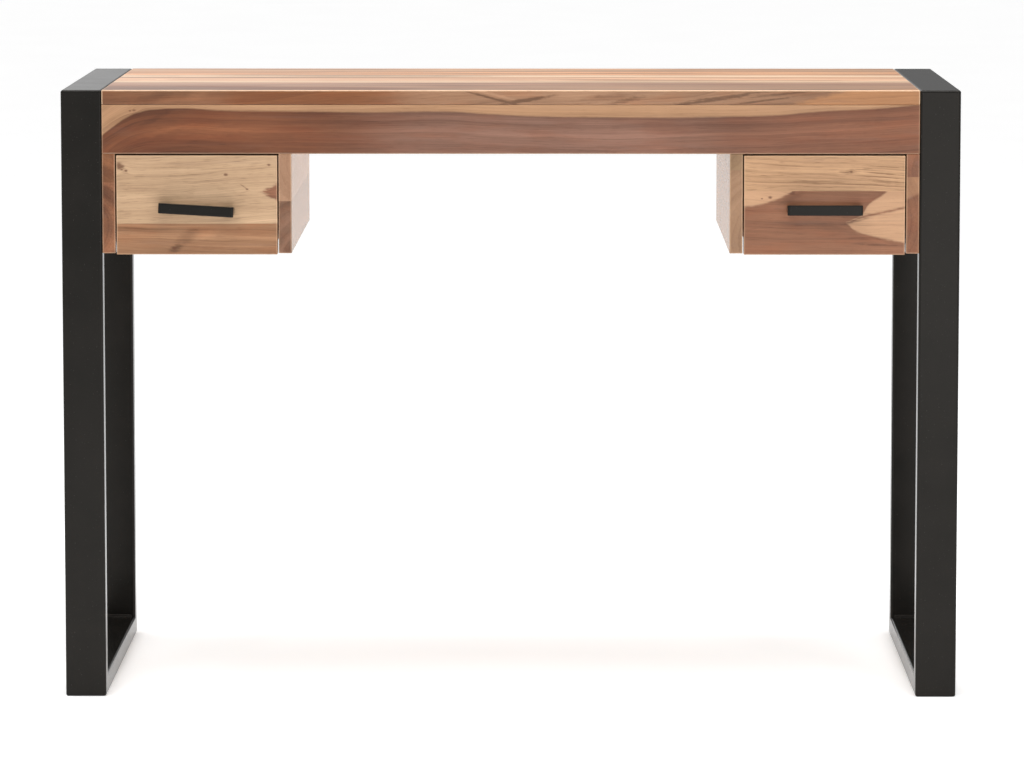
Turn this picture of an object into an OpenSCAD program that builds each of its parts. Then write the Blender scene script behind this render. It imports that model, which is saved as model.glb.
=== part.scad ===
// Writing desk with drawers.
// An edge-glued solid wood top, with an apron and a drawer casing under each end,
// is bolted between two looped frames of rectangular steel tube.
// Millimetres. +Z is up, +X is to the right and the front faces -Y. The origin is on
// the floor, at the centre of the footprint with the drawer pulls.

/* [Desk] */
// Width over the two steel frames
desk_w = 1100; // [1000:10:1400]
// Depth of the frames and of the top
desk_d = 500; // [480:10:600]
// Height of the working surface above the floor
desk_h = 750; // [700:5:780]

/* [Steel frames] */
// Width of the rectangular tube, as seen from the front
tube_w = 50; // [40:5:60]
// Depth of the rectangular tube
tube_t = 25; // [25:1:30]
// Wall of the tube
tube_wall = 2; // [1.5:0.5:2.5]
// Radius of the tube's long edges, and of the ground corners of the loop
tube_r = 3; // [3:0.5:4]

/* [Top] */
// Thickness of the top
top_t = 18; // [18:1:22]
// Radius of the long upper edges at the front and back of the top
top_edge_r = 1.5; // [1:0.5:3]
// Height of the front and rear aprons
apron_h = 60; // [50:5:80]
// Thickness of the aprons
apron_t = 22; // [20:1:25]

/* [Drawer casings] */
// Height of a casing below the apron
casing_h = 122; // [122:2:150]
// Clear width of the opening that a drawer slides in
opening_w = 200; // [180:5:260]
// Thickness of the cheeks, and of the back of a casing
cheek_t = 16; // [15:1:20]
// Length of the wooden runners
runner_len = 400; // [360:10:410]

/* [Drawers] */
// Gap between a drawer front and the cheek on each side
side_gap = 1.5; // [1:0.5:2.5]
// Gap between a drawer front and the apron above it
head_gap = 2; // [1.5:0.5:3]
// How far a drawer front hangs below its casing
front_drop = 1.5; // [0:0.5:3]
// Thickness of a drawer front
front_t = 18; // [16:1:20]
// Thickness of the drawer sides and back
box_t = 14; // [14:1:16]
// Height of the drawer sides and back
box_h = 99; // [90:1:100]
// Length of the drawer sides behind the front
box_len = 430; // [390:10:440]

/* [Pulls] */
// Length of a pull
pull_w = 92; // [80:2:120]
// Height of a pull's bar
pull_h = 12.5; // [10:0.5:14]
// How far a pull stands out of the drawer front
pull_reach = 24; // [20:1:30]
// How far the left pull's right end droops, in degrees
left_pull_tilt = 3.3; // [0:0.1:5]

/* [Hidden] */
$fn = 48;

// Cutters run this far past the faces that they open.
past = 1;
// Radial room round screws and bolts, and the room round loose-fitting panels.
screw_room = 0.05;
panel_room = 0.25;

SIDES = ["left", "right"];

// Main planes
front_y = (pull_reach - desk_d) / 2;
back_y = front_y + desk_d;
wood_w = desk_w - 2 * tube_w;
apron_top = desk_h - top_t;
apron_z = apron_top - apron_h;
casing_z = apron_z - casing_h;

// Staves of the top from front to back, as shares of the depth in percent
stave_shares = [20, 14, 7, 14, 14, 14, 17];
STAVES = len(stave_shares);
stave_w = [for (share = stave_shares) desk_d * share / 100];
function sum_before(list, i) = i == 0 ? 0 : list[i - 1] + sum_before(list, i - 1);
stave_y = [for (i = [0 : STAVES - 1]) front_y + sum_before(stave_w, i)];

// The left casing. The right one is its mirror image, apart from the seam heights.
outer_x = -desk_w / 2 + tube_w;
open_x = outer_x + cheek_t;
inner_x = open_x + opening_w;

// Height above the casing's lower edge of the glued seams, left then right
outer_seam = [87, 94];
inner_seam = [64, 102];
front_seam = [38, 78];

// Bolts between the frame and the outer cheek
bolt_r = 3;
bolt_head_r = 5;
bolt_head_h = 6;
bolt_grip = 10;
washer_r = 7;
washer_t = 1.6;
insert_r = 4.5;
insert_len = 12;
access_r = 7;
cap_len = 6;
cap_wall = 1.5;
bolt_heights = [casing_z + 25, casing_z + 100];

// Dowels
dowel_r = 4;
dowel_len = 24;
small_dowel_r = 3;
small_dowel_len = 20;
apron_dowel_heights = [apron_z + 15, apron_z + 45];
back_dowel_heights = [casing_z + 50, casing_z + 75];

// Runners, screwed to the cheeks, and the grooves that ride on them
runner_t = 12.5;
runner_h = 16;
runner_y = front_y + 40;
runner_z = casing_z + 45;
groove_depth = 6.5;
screw_r = 1.75;
screw_head_r = 3.5;
screw_len = 22;
screw_margin = 30;
runner_screw_y = [screw_margin, runner_len / 2, runner_len - screw_margin];

// Drawer box
box_gap = 7;
front_w = opening_w - 2 * side_gap;
front_z = casing_z - front_drop;
front_h = casing_h + front_drop - head_gap;
box_x = open_x + box_gap;
box_w = opening_w - 2 * box_gap;
box_y = front_y + front_t;
box_z = casing_z + 6;
housing = 6;
dado = 4;
back_inset = 10;
back_panel_y = box_y + box_len - back_inset - box_t;
bottom_t = 5;
bottom_z = box_z + 6;

// Pulls
pull_bar_t = 8;
pull_corner_r = 2.5;
pull_post_w = 12;
pull_post_h = 8;
pull_z = casing_z + 54.5;
pull_x = open_x + opening_w / 2;
pull_spacing = pull_w - pull_post_w;
pull_screw_r = 2;
pull_screw_head_r = 4;
pull_screw_head_h = 2.6;
pull_thread = 12;
pull_tilt = [left_pull_tilt, 0];

// Colours
steel = "#2d2c2a";
zinc = "#b9bcc0";
brass = "#b08d4c";
cap_black = "#1f1f1f";
heartwood = "#93654e";
sapwood = "#c8a27c";
top_wood = ["#c39c80", "#bb9177", "#e6c7a6", "#c79d83", "#e9cba9", "#c79a80", "#d3ab90"];
beech = "#d8b98f";
plywood = "#d9c4a0";

// ---- Helpers ---------------------------------------------------------------------

// The left side is drawn as it stands, and side 1, the right, is mirrored.
module on_side(side) {
    mirror([side, 0, 0]) children();
}

// A cylinder along X from x = 0 to x = length
module rod_x(length, r) {
    rotate([0, 90, 0]) cylinder(h = length, r = r);
}

// A cylinder along Y from y = 0 to y = length
module rod_y(length, r) {
    rotate([-90, 0, 0]) cylinder(h = length, r = r);
}

// A rectangle whose corners are true arcs
module rounded_rectangle(w, h, r) {
    translate([r, 0]) square([w - 2 * r, h]);
    translate([0, r]) square([w, h - 2 * r]);
    for (x = [r, w - r], y = [r, h - r]) translate([x, y]) circle(r);
}

// What rounding takes off a square corner at the origin
module corner_waste(r) {
    difference() {
        translate([-past, -past]) square(r + past);
        translate([r, r]) circle(r);
    }
}

// A child outline drawn in (Y, Z), extruded along X from x = 0
module extrude_x(length) {
    rotate([90, 0, 90]) linear_extrude(length) children();
}

// ---- Steel frames ----------------------------------------------------------------

// One side of the loop, standing along Z with its outer face at y = 0, mitred at both ends
module mitred_tube(length) {
    difference() {
        intersection() {
            linear_extrude(length) difference() {
                rounded_rectangle(tube_w, tube_t, tube_r);
                translate([tube_wall, tube_wall]) rounded_rectangle(
                    tube_w - 2 * tube_wall, tube_t - 2 * tube_wall, tube_r - tube_wall);
            }
            translate([-past, 0, 0]) extrude_x(tube_w + 2 * past) polygon([
                [-past, -past],
                [tube_t + past, tube_t + past],
                [tube_t + past, length - tube_t - past],
                [-past, length + past]]);
        }
        for (end = [0, 1]) translate([-past, 0, end * length]) mirror([0, 0, end])
            extrude_x(tube_w + 2 * past) corner_waste(tube_r);
    }
}

// A leg, with an access hole in its outer wall and a clearance hole in its inner wall
// for each bolt
module leg(rear) {
    color(steel)
    translate([-desk_w / 2, rear ? back_y : front_y, 0]) mirror([0, rear, 0]) difference() {
        mitred_tube(desk_h);
        for (z = bolt_heights) translate([0, tube_t / 2, z]) {
            translate([-past, 0, 0]) rod_x(tube_wall + 2 * past, access_r);
            translate([tube_w - tube_wall - past, 0, 0])
                rod_x(tube_wall + 2 * past, bolt_r + 0.3);
        }
    }
}

// The level bar that closes the loop at the top or at the floor
module level_bar(top) {
    color(steel)
    translate([-desk_w / 2, front_y, top * desk_h]) mirror([0, 0, top])
        mirror([0, 1, -1]) mitred_tube(desk_d);
}

// Puts a child at each of the four bolts of a frame, on the outer cheek's outer face.
module at_bolts() {
    for (y = [front_y + tube_t / 2, back_y - tube_t / 2], z = bolt_heights)
        translate([outer_x, y, z]) children();
}

module frame_bolts() {
    color(zinc) at_bolts() {
        translate([-tube_wall - washer_t, 0, 0])
            rod_x(tube_wall + washer_t + bolt_grip, bolt_r);
        translate([-tube_wall - washer_t - bolt_head_h, 0, 0]) difference() {
            rod_x(bolt_head_h, bolt_head_r);
            translate([-past, 0, 0]) rotate([0, 90, 0])
                cylinder(h = bolt_head_h / 2 + past, r = bolt_r, $fn = 6);
        }
    }
}

module frame_washers() {
    color(zinc) at_bolts() translate([-tube_wall - washer_t, 0, 0]) difference() {
        rod_x(washer_t, washer_r);
        translate([-past, 0, 0]) rod_x(washer_t + 2 * past, bolt_r + 0.2);
    }
}

module threaded_inserts() {
    color(brass) at_bolts() difference() {
        rod_x(insert_len, insert_r);
        translate([-past, 0, 0]) rod_x(insert_len + 2 * past, bolt_r + screw_room);
    }
}

// Push-in caps that close the access holes flush with the outer wall
module hole_caps() {
    color(cap_black) at_bolts() translate([-tube_w, 0, 0]) difference() {
        rod_x(cap_len, access_r);
        translate([tube_wall, 0, 0]) rod_x(cap_len, access_r - cap_wall);
    }
}

// ---- Top and aprons --------------------------------------------------------------

// End outline of a stave in (Y, Z), with its outer upper edge rounded at the front or back
module stave_outline(w, round_front, round_back) {
    difference() {
        square([w, top_t]);
        if (round_front) translate([0, top_t]) mirror([0, 1]) corner_waste(top_edge_r);
        if (round_back) translate([w, top_t]) mirror([0, 1]) mirror([1, 0])
            corner_waste(top_edge_r);
    }
}

module top_stave(i) {
    color(top_wood[i]) difference() {
        translate([-wood_w / 2, stave_y[i], apron_top]) extrude_x(wood_w)
            stave_outline(stave_w[i], i == 0, i == STAVES - 1);
        top_dowel_shapes();
    }
}

// The front apron, or the rear one where rear is 1
module apron(rear) {
    color(heartwood) difference() {
        translate([-wood_w / 2, rear ? back_y - apron_t : front_y, apron_z])
            cube([wood_w, apron_t, apron_h]);
        apron_dowel_shapes();
    }
}

// ---- Drawer casings --------------------------------------------------------------

// Middle of each cheek across its thickness, for the left casing
cheek_mid_x = [outer_x + cheek_t / 2, inner_x + cheek_t / 2];

// Upright dowels from the cheeks into the top, one in the middle of each stave
module top_dowel_shapes() {
    for (side = [0, 1]) on_side(side) for (x = cheek_mid_x, i = [0 : STAVES - 1])
        translate([x, stave_y[i] + stave_w[i] / 2, apron_top - dowel_len / 2])
            cylinder(h = dowel_len, r = dowel_r);
}

// Level dowels from the aprons into the cheeks
module apron_dowel_shapes() {
    for (side = [0, 1]) on_side(side)
        for (x = cheek_mid_x, y = [front_y + apron_t, back_y - apron_t],
             z = apron_dowel_heights)
            translate([x, y - dowel_len / 2, z]) rod_y(dowel_len, dowel_r);
}

// Level dowels from the cheeks into the back of each casing
module back_dowel_shapes() {
    for (side = [0, 1]) on_side(side)
        for (x = [open_x, inner_x], z = back_dowel_heights)
            translate([x - small_dowel_len / 2, back_y - cheek_t / 2, z])
                rod_x(small_dowel_len, small_dowel_r);
}

module top_dowels() {
    color(beech) top_dowel_shapes();
}

module apron_dowels() {
    color(beech) apron_dowel_shapes();
}

module back_dowels() {
    color(beech) back_dowel_shapes();
}

// One whole cheek before it is split into its staves. It is notched at its upper
// corners for the aprons.
module cheek_blank(x) {
    translate([x, front_y, casing_z]) extrude_x(cheek_t) difference() {
        square([desk_d, apron_top - casing_z]);
        translate([-past, casing_h]) square([apron_t + past, apron_h + past]);
        translate([desk_d - apron_t, casing_h]) square([apron_t + past, apron_h + past]);
    }
}

// The lower or upper stave of a blank that is glued at the given seam height
module cut_at_seam(seam, upper) {
    full_h = apron_top - casing_z;
    z = upper ? casing_z + seam : casing_z - past;
    h = upper ? full_h - seam + past : seam + past;
    intersection() {
        children();
        translate([-desk_w / 2, front_y - past, z]) cube([desk_w / 2, desk_d + 2 * past, h]);
    }
}

module outer_cheek(side, upper) {
    color(heartwood) difference() {
        cut_at_seam(outer_seam[side], upper) cheek_blank(outer_x);
        top_dowel_shapes();
        apron_dowel_shapes();
        back_dowel_shapes();
        runner_screw_shapes(screw_room);
        at_bolts() translate([-past, 0, 0]) rod_x(insert_len + past, insert_r);
    }
}

module inner_cheek(side, upper) {
    color(upper ? sapwood : heartwood) difference() {
        cut_at_seam(inner_seam[side], upper) cheek_blank(inner_x);
        top_dowel_shapes();
        apron_dowel_shapes();
        back_dowel_shapes();
        runner_screw_shapes(screw_room);
    }
}

module casing_back() {
    color(heartwood) difference() {
        translate([open_x, back_y - cheek_t, casing_z])
            cube([opening_w, cheek_t, casing_h]);
        back_dowel_shapes();
    }
}

// ---- Runners ---------------------------------------------------------------------

// Countersunk screw along X, its head's face at x = 0
module countersunk_screw(room) {
    head_h = screw_head_r - screw_r;
    rod_x(screw_len + room, screw_r + room);
    rotate([0, 90, 0]) cylinder(h = head_h, r1 = screw_head_r + room, r2 = screw_r + room);
}

// The screws of both runners of one casing
module runner_screw_shapes(room) {
    for (at = runner_screw_y) {
        translate([open_x + runner_t, runner_y + at, runner_z + runner_h / 2])
            mirror([1, 0, 0]) countersunk_screw(room);
        translate([inner_x - runner_t, runner_y + at, runner_z + runner_h / 2])
            countersunk_screw(room);
    }
}

module runner_screws() {
    color(zinc) runner_screw_shapes(0);
}

module runner(x) {
    color(beech) difference() {
        translate([x, runner_y, runner_z]) cube([runner_t, runner_len, runner_h]);
        runner_screw_shapes(screw_room);
        // The countersinks open the runner's face.
        for (at = runner_screw_y) {
            translate([open_x + runner_t, runner_y + at, runner_z + runner_h / 2])
                rod_x(past, screw_head_r + screw_room);
            translate([inner_x - runner_t - past, runner_y + at, runner_z + runner_h / 2])
                rod_x(past, screw_head_r + screw_room);
        }
    }
}

// ---- Drawers ---------------------------------------------------------------------

// Where a pull's two screws pass, as children placed on the back of the drawer front
module at_pull_screws(side) {
    translate([pull_x, box_y, pull_z]) rotate([0, pull_tilt[side], 0])
        for (x = [-0.5, 0.5]) translate([x * pull_spacing, 0, 0]) children();
}

// The bottom panel's space, grown by the given room
module bottom_space(room) {
    translate([box_x + box_t - dado - room, box_y - dado - room, bottom_z - room])
        cube([box_w - 2 * (box_t - dado) + 2 * room,
              back_panel_y - box_y + 2 * dado + 2 * room,
              bottom_t + 2 * room]);
}

// One of the two glued staves of a drawer front
module drawer_front(side, upper) {
    seam = front_seam[side];
    z = upper ? front_z + seam : front_z;
    h = upper ? front_h - seam : seam;
    color(upper ? sapwood : heartwood) difference() {
        translate([open_x + side_gap, front_y, z]) cube([front_w, front_t, h]);
        // Housings for the sides
        for (x = [box_x, box_x + box_w - box_t])
            translate([x, box_y - housing, box_z]) cube([box_t, housing + past, box_h]);
        bottom_space(panel_room);
        at_pull_screws(side) translate([0, -front_t - past, 0])
            rod_y(front_t + 2 * past, pull_screw_r + 0.25);
    }
}

// A drawer side, with the long groove that rides on its runner. The groove stops short
// of the front, and its end meets the runner when the drawer is shut.
module drawer_side(inner) {
    x = inner ? box_x + box_w - box_t : box_x;
    groove_x = inner ? x + box_t - groove_depth : x - past;
    color(sapwood) difference() {
        translate([x, box_y - housing, box_z]) cube([box_t, box_len + housing, box_h]);
        translate([groove_x, runner_y - panel_room, runner_z - 2 * panel_room])
            cube([groove_depth + past, box_len, runner_h + 3 * panel_room]);
        translate([inner ? x - past : x + box_t - dado, back_panel_y, box_z - past])
            cube([dado + past, box_t, box_h + 2 * past]);
        bottom_space(panel_room);
    }
}

module drawer_back() {
    color(sapwood) difference() {
        translate([box_x + box_t - dado, back_panel_y, box_z])
            cube([box_w - 2 * (box_t - dado), box_t, box_h]);
        bottom_space(panel_room);
    }
}

module drawer_bottom() {
    color(plywood) bottom_space(0);
}

// ---- Pulls -----------------------------------------------------------------------

// Plan of a pull's bar in (X, Y), its face at y = 0 and its front corners rounded
module pull_bar_plan() {
    difference() {
        translate([-pull_w / 2, 0]) rounded_rectangle(
            pull_w, pull_bar_t + pull_corner_r, pull_corner_r);
        translate([-pull_w / 2 - past, pull_bar_t])
            square([pull_w + 2 * past, pull_bar_t]);
    }
}

// A bar with a post behind each end, lower than the bar, so that the bar hides it
module pull_solid() {
    translate([0, 0, -pull_h / 2]) linear_extrude(pull_h) pull_bar_plan();
    for (x = [-pull_w / 2, pull_w / 2 - pull_post_w])
        translate([x, pull_bar_t / 2, -pull_post_h / 2])
            cube([pull_post_w, pull_reach - pull_bar_t / 2, pull_post_h]);
}

module pull(side) {
    color(steel) difference() {
        translate([pull_x, front_y - pull_reach, pull_z]) rotate([0, pull_tilt[side], 0])
            pull_solid();
        at_pull_screws(side) translate([0, -front_t - pull_thread - past, 0])
            rod_y(pull_thread + 2 * past, pull_screw_r + screw_room);
    }
}

module pull_screws(side) {
    color(zinc) at_pull_screws(side) {
        translate([0, -front_t - pull_thread + past, 0])
            rod_y(front_t + pull_thread - past, pull_screw_r);
        rod_y(pull_screw_head_h, pull_screw_head_r);
    }
}

// ---- Nodes -----------------------------------------------------------------------

SIDE_NODES = [
    "front_leg", "rear_leg", "top_bar", "bottom_bar",
    "frame_bolts", "frame_washers", "threaded_inserts", "hole_caps",
    "outer_cheek_lower", "outer_cheek_upper", "inner_cheek_lower", "inner_cheek_upper",
    "casing_back", "outer_runner", "inner_runner", "runner_screws",
    "drawer_front_lower", "drawer_front_upper", "drawer_outer_side", "drawer_inner_side",
    "drawer_back", "drawer_bottom", "pull", "pull_screws"];

for (i = [1 : STAVES])
    top_stave(i - 1);
apron(0);  // front_apron
apron(1);  // rear_apron
top_dowels();
apron_dowels();
back_dowels();

for (side = [0, 1]) on_side(side) {
    name = SIDES[side];
    leg(0);
    leg(1);
    level_bar(1);
    level_bar(0);
    frame_bolts();
    frame_washers();
    threaded_inserts();
    hole_caps();
    outer_cheek(side, false);
    outer_cheek(side, true);
    inner_cheek(side, false);
    inner_cheek(side, true);
    casing_back();
    runner(open_x);
    runner(inner_x - runner_t);
    runner_screws();
    drawer_front(side, false);
    drawer_front(side, true);
    drawer_side(false);
    drawer_side(true);
    drawer_back();
    drawer_bottom();
    pull(side);
    pull_screws(side);
}
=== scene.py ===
import math

import bmesh
import bpy
from mathutils import Matrix, Vector, noise


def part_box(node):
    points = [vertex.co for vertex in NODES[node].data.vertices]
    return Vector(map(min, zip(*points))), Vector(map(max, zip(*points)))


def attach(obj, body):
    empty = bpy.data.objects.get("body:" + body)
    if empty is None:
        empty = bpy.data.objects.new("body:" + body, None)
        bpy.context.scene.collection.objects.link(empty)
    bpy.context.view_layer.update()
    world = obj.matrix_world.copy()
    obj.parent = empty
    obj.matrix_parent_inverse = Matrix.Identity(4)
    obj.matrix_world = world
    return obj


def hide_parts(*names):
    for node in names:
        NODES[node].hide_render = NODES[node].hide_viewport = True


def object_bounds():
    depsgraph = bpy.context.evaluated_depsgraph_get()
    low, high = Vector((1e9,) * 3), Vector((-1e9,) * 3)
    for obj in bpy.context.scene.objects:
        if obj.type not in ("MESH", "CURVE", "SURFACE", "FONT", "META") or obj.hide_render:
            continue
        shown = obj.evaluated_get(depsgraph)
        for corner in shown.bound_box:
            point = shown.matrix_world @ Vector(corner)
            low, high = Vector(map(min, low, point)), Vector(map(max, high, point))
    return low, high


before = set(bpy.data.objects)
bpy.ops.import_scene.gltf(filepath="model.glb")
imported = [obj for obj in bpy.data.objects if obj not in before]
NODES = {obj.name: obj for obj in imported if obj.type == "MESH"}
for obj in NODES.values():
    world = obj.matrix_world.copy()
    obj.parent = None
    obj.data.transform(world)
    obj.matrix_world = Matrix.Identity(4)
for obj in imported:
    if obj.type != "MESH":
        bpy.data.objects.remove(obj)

CAD_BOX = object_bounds()
MM = 0.001
SIDES = ("left", "right")

# Radius that sanding leaves on a wooden arris: usually, along the top's front edge, and on
# the drawer fronts
ARRIS = 0.9 * MM
TOP_ARRIS = 1.5 * MM
FRONT_ARRIS = 0.7 * MM
# How far a sanded face strays from flat, and how many waves it has to a metre
UNEVEN = 0.12 * MM
UNEVEN_RATE = 9
# Seed of the noise behind those waves. Without one, the clock would seed it
UNEVEN_SEED = 7
# Spacing of the cuts across a board, which let its faces stray
CUT_SPACING = 40 * MM
# Faces that meet at more than these angles have an edge that looks sharp, and one to ease
SHARP_ANGLE = math.radians(42)
EASED_ANGLE = 0.6
# Points this near each other are the same
TOUCHING = 0.001 * MM


def linear(red, green, blue):
    """A linear colour from sRGB values of 0 to 255."""
    def channel(value):
        share = value / 255
        return share / 12.92 if share <= 0.04045 else ((share + 0.055) / 1.055) ** 2.4
    return (channel(red), channel(green), channel(blue), 1.0)


# ---- Node arithmetic ---------------------------------------------------------------


class Field:
    """A number that varies over a surface, in one material's node tree."""

    def __init__(self, tree, socket):
        self.tree = tree
        self.socket = socket

    def math(self, operation, *others):
        node = self.tree.nodes.new("ShaderNodeMath")
        node.operation = operation
        for place, value in enumerate((self, *others)):
            feed(self.tree, node.inputs[place], value)
        return Field(self.tree, node.outputs[0])

    def __add__(self, other):
        return self.math("ADD", other)

    def __sub__(self, other):
        return self.math("SUBTRACT", other)

    def __mul__(self, other):
        return self.math("MULTIPLY", other)

    def __truediv__(self, other):
        return self.math("DIVIDE", other)

    def __rsub__(self, other):
        return self * -1 + other

    def least(self, other):
        return self.math("MINIMUM", other)

    def most(self, other):
        return self.math("MAXIMUM", other)

    def size(self):
        return self.math("ABSOLUTE")

    def fade(self):
        """e to the power of minus this number."""
        return (self * -1).math("EXPONENT")

    def step(self, low, high):
        """0 below low, 1 above high, and a smooth rise between them."""
        node = self.tree.nodes.new("ShaderNodeMapRange")
        node.interpolation_type = "SMOOTHSTEP"
        feed(self.tree, node.inputs["Value"], self)
        node.inputs["From Min"].default_value = low
        node.inputs["From Max"].default_value = high
        return Field(self.tree, node.outputs["Result"])

    def bend(self, points):
        """Height of the smooth line through (way, height) points, where this number is the way along."""
        first, last = points[0][0], points[-1][0]
        low = min(height for _, height in points)
        span = max(height for _, height in points) - low
        node = self.tree.nodes.new("ShaderNodeFloatCurve")
        feed(self.tree, node.inputs["Value"], (self - first) / (last - first))
        line = node.mapping.curves[0]
        while len(line.points) < len(points):
            line.points.new(0.5, 0.5)
        for knob, (way, height) in zip(line.points, points):
            knob.location = ((way - first) / (last - first), (height - low) / span)
        node.mapping.update()
        return Field(self.tree, node.outputs["Value"]) * span + low


def feed(tree, socket, value):
    """Links a Field or a socket to an input, or sets the input to a plain value."""
    if isinstance(value, Field):
        tree.links.new(value.socket, socket)
    elif isinstance(value, bpy.types.NodeSocket):
        tree.links.new(value, socket)
    else:
        socket.default_value = value


def cloud(x, y=None, z=None, detail=2.0, roughness=0.5):
    """Smooth noise of 0 to 1 with features about one unit apart, in one or three dimensions."""
    tree = x.tree
    node = tree.nodes.new("ShaderNodeTexNoise")
    node.inputs["Scale"].default_value = 1.0
    node.inputs["Detail"].default_value = detail
    node.inputs["Roughness"].default_value = roughness
    if y is None:
        node.noise_dimensions = "1D"
        feed(tree, node.inputs["W"], x)
    else:
        join = tree.nodes.new("ShaderNodeCombineXYZ")
        for place, value in enumerate((x, y, z)):
            feed(tree, join.inputs[place], value)
        feed(tree, node.inputs["Vector"], join.outputs[0])
    return Field(tree, node.outputs[0])


def mix(tree, share, first, second, how="MIX"):
    """The colour between two others, as a socket."""
    node = tree.nodes.new("ShaderNodeMix")
    node.data_type = "RGBA"
    node.blend_type = how
    feed(tree, node.inputs["Factor"], share)
    feed(tree, node.inputs["A"], first)
    feed(tree, node.inputs["B"], second)
    return node.outputs["Result"]


def ramp(share, stops):
    """The colour that stops of (place, colour) give for a Field of 0 to 1."""
    node = share.tree.nodes.new("ShaderNodeValToRGB")
    elements = node.color_ramp.elements
    while len(elements) < len(stops):
        elements.new(0.5)
    for element, (place, colour) in zip(elements, stops):
        element.position = place
        element.color = colour
    feed(share.tree, node.inputs["Fac"], share)
    return node.outputs["Color"]


def bump(tree, height, distance, strength):
    """A normal for a surface that a Field raises by up to a distance in metres."""
    node = tree.nodes.new("ShaderNodeBump")
    node.inputs["Strength"].default_value = strength
    node.inputs["Distance"].default_value = distance
    feed(tree, node.inputs["Height"], height)
    return node.outputs["Normal"]


def new_material(name):
    """An empty material, its shader and the object's own X, Y and Z in millimetres."""
    material = bpy.data.materials.new(name)
    material.use_nodes = True
    tree = material.node_tree
    shader = next(n for n in tree.nodes if n.type == "BSDF_PRINCIPLED")
    place = tree.nodes.new("ShaderNodeTexCoord")
    split = tree.nodes.new("ShaderNodeSeparateXYZ")
    tree.links.new(place.outputs["Object"], split.inputs[0])
    axes = {axis: Field(tree, split.outputs[i]) * 1000 for i, axis in enumerate("xyz")}
    return material, tree, shader, axes


# ---- Wood --------------------------------------------------------------------------

# Middle colours of heartwood (the usual one, the apron's grey middle and the left drawer's
# lower stave) and of sapwood
HEART = (146, 98, 74)
GREY_HEART = (134, 97, 80)
LIGHT_HEART = (156, 113, 80)
SAP = (200, 163, 129)
# Colours of a painted sheen for faces seen at a grazing angle, a painted highlight along arrises, knots,
# pores and grey weathering
GRAZING_SHEEN = (228, 184, 140)
ARRIS_HIGHLIGHT = (236, 200, 164)
KNOT = (104, 62, 40)
PORE = (84, 52, 36)
WEATHERED = (122, 100, 88)
# What reddens a patch of heartwood, by multiplying
REDDENER = (255, 222, 196)
# Colours of light and dark grain: (tone, how many times as light as the middle colour)
HEART_GAINS = ((0.1, 0.42), (0.34, 0.74), (0.52, 1.0), (0.72, 1.32), (0.95, 1.75))
SAP_GAINS = ((0.05, 0.50), (0.30, 0.80), (0.52, 1.0), (0.80, 1.22), (1.0, 1.45))
# How deep a stain goes, in millimetres
STAIN_DEPTH = 22.0
# Between these distances from its front end, a board turns pale with a painted sheen, in millimetres
SHEEN_START = 1.0
SHEEN_END = 14.0


def shade(colour, gain):
    """A linear colour from sRGB values, gain times as light. Dark wood is redder, light wood yellower."""
    red, green, blue, _ = linear(*colour)
    return (red * gain ** 0.88, green * gain, blue * gain ** 1.12, 1.0)


def shades(colour, gains):
    """Ramp stops for a wood's middle colour."""
    return [(tone, shade(colour, gain)) for tone, gain in gains]


def along(u, value):
    """A plain number, or the height of the line through (way, height) points."""
    return u.bend(value) if isinstance(value, list) else value


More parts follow.
